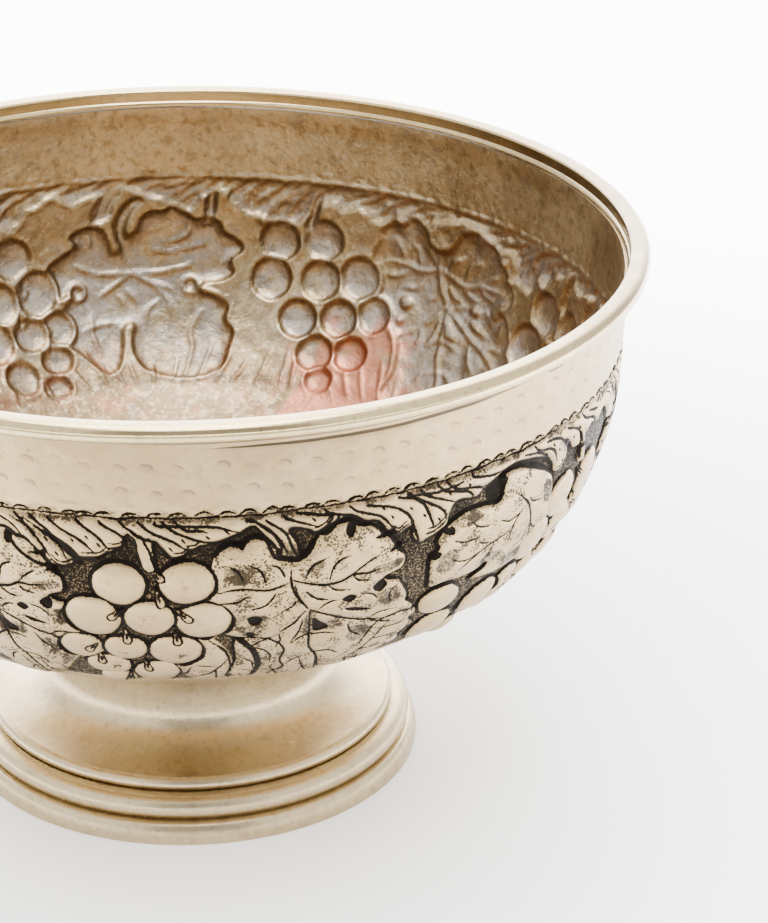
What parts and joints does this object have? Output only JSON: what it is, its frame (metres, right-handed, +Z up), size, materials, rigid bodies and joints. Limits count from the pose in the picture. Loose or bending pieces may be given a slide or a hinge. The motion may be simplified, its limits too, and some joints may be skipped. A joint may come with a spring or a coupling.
{
  "type": "punch bowl",
  "caption": "Footed silver-plated punch bowl: wide round bowl with a chased vine and grape frieze, plain collar and rolled rim, on a stepped flared foot.",
  "frame": {"origin": "centre of the circle on which the foot rests", "axes": "+Z up through the middle of the foot and bowl; -Y towards the viewer's side of the chased frieze"},
  "size_m": [0.32, 0.32, 0.1932],
  "materials": {
    "chased_silver": "warm silver plate, soft polish, blackened in the chased recesses",
    "bowl_inside": "tarnished silver plate, brown and grey, copper showing through",
    "rim_silver": "polished silver plate, softly worn",
    "foot_silver": "polished silver plate with golden tarnish bands",
    "copper_wire": "plain drawn copper",
    "solder": "dull, darkened with grime"
  },
  "bodies": {
    "root": {"bowl_shell": "chased_silver", "rim_moulding": "rim_silver", "rim_core_wire": "copper_wire", "rim_solder": "solder", "foot_cone": "foot_silver", "foot_step_ring": "foot_silver", "foot_base_band": "foot_silver", "foot_solder": "solder"}
  },
  "joints": []
}
